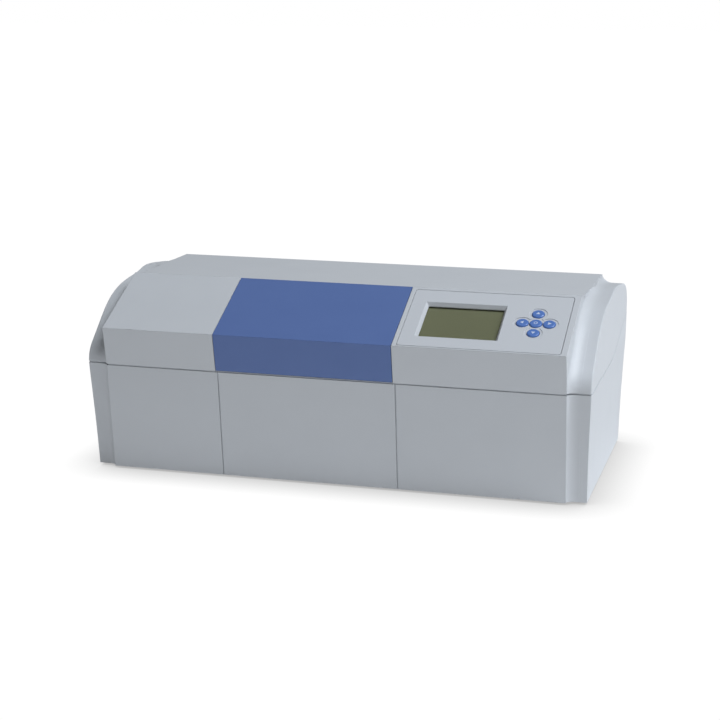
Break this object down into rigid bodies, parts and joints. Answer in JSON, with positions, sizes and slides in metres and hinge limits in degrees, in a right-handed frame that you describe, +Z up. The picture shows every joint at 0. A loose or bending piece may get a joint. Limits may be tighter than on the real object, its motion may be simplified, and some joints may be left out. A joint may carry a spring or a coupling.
{
  "type": "polarimeter",
  "caption": "Bench-top automatic polarimeter with a hinged sample compartment lid, sloping display panel with keypad, and the optical train inside.",
  "frame": {"origin": "on the table under the middle of the body", "axes": "+X along the light path to the right, +Y to the back, +Z up"},
  "size_m": [0.6, 0.32, 0.226],
  "materials": {
    "grey_plastic": "fine moulded texture, pale cool grey",
    "blue_plastic": "satin blue",
    "blue_key": "blue domed caps",
    "black_plastic": "black moulded",
    "steel": "plain steel",
    "black_metal": "black anodised",
    "painted_steel": "pale grey paint",
    "aluminium": "machined",
    "brass": "turned",
    "copper": "enamelled winding",
    "ceramic": "ceramic",
    "clear_glass": "clear",
    "filter_glass": "tinted",
    "rubber_black": "black",
    "lcd_green": "reflective display, grey green",
    "board_green": "circuit board"
  },
  "bodies": {
    "root": {"analyser_bearings": "steel", "analyser_block": "black_metal", "base_shell": "grey_plastic", "bench_pillars": "steel", "bench_screws": "steel", "board_standoffs": "brass", "case_screws": "steel", "chamber_windows": "clear_glass", "coil_saddle": "black_metal", "condenser_lens": "clear_glass", "condenser_mount": "black_metal", "data_port": "steel", "detector_housing": "black_metal", "detector_socket": "black_plastic", "display_fascia": "grey_plastic", "display_module": "lcd_green", "display_window": "clear_glass", "drive_motor": "steel", "feet": "rubber_black", "filter_mount": "black_metal", "foot_nuts": "steel", "foot_screws": "steel", "fuse_holder": "black_plastic", "hinge_brackets": "steel", "hinge_pins": "steel", "interference_filter": "filter_glass", "keypad_board": "board_green", "keypad_mat": "rubber_black", "lamp_bulb": "clear_glass", "lamp_holder": "ceramic", "lamp_housing": "black_metal", "main_board": "board_green", "mains_inlet": "black_plastic", "modulator_coil": "copper", "modulator_rod": "clear_glass", "motor_bracket": "black_metal", "objective_lens": "clear_glass", "objective_mount": "black_metal", "optical_bench": "aluminium", "photomultiplier": "clear_glass", "polariser": "filter_glass", "polariser_mount": "black_metal", "power_board": "board_green", "power_switch": "black_plastic", "rear_panel": "painted_steel", "sample_trough": "black_plastic", "top_cover": "grey_plastic", "transformer": "copper", "transformer_clamp": "steel", "tube_cradles": "black_metal"},
    "lid": {"chamber_lid": "blue_plastic"},
    "key_left_cap": {"key_left": "blue_key"},
    "key_right_cap": {"key_right": "blue_key"},
    "key_up_cap": {"key_up": "blue_key"},
    "key_down_cap": {"key_down": "blue_key"},
    "key_enter_cap": {"key_enter": "blue_key"},
    "analyser": {"analyser_wheel": "brass", "analyser_prism": "filter_glass"},
    "pinion": {"drive_pinion": "steel"},
    "rocker": {"power_rocker": "black_plastic"}
  },
  "joints": [
    {"name": "lid_hinge", "type": "hinge", "parent": "root", "child": "lid", "pos_m": [0, -0.0525, 0.214], "axis": [-1, 0, 0], "range_deg": [0, 62]},
    {"name": "key_left_press", "type": "slide", "parent": "root", "child": "key_left_cap", "axis": [0, 0.4241, -0.9056], "range_m": [0, 0.0015], "stiffness_N_per_m": 600, "springref_m": -0.001},
    {"name": "key_right_press", "type": "slide", "parent": "root", "child": "key_right_cap", "axis": [0, 0.4241, -0.9056], "range_m": [0, 0.0015], "stiffness_N_per_m": 600, "springref_m": -0.001},
    {"name": "key_up_press", "type": "slide", "parent": "root", "child": "key_up_cap", "axis": [0, 0.4241, -0.9056], "range_m": [0, 0.0015], "stiffness_N_per_m": 600, "springref_m": -0.001},
    {"name": "key_down_press", "type": "slide", "parent": "root", "child": "key_down_cap", "axis": [0, 0.4241, -0.9056], "range_m": [0, 0.0015], "stiffness_N_per_m": 600, "springref_m": -0.001},
    {"name": "key_enter_press", "type": "slide", "parent": "root", "child": "key_enter_cap", "axis": [0, 0.4241, -0.9056], "range_m": [0, 0.0015], "stiffness_N_per_m": 600, "springref_m": -0.001},
    {"name": "analyser_turn", "type": "hinge", "parent": "root", "child": "analyser", "pos_m": [0, -0.1, 0.15], "axis": [1, 0, 0], "range_deg": [-45, 45]},
    {"name": "pinion_turn", "type": "hinge", "parent": "root", "child": "pinion", "pos_m": [0, -0.06552, 0.1388], "axis": [1, 0, 0], "range_deg": [-181, 181]},
    {"name": "rocker_tilt", "type": "hinge", "parent": "root", "child": "rocker", "pos_m": [-0.07, 0.14919, 0.07224], "axis": [1, 0, 0], "range_deg": [0, 16]}
  ],
  "couplings": [
    {"joint": "pinion_turn", "follows": "analyser_turn", "ratio": -4}
  ]
}
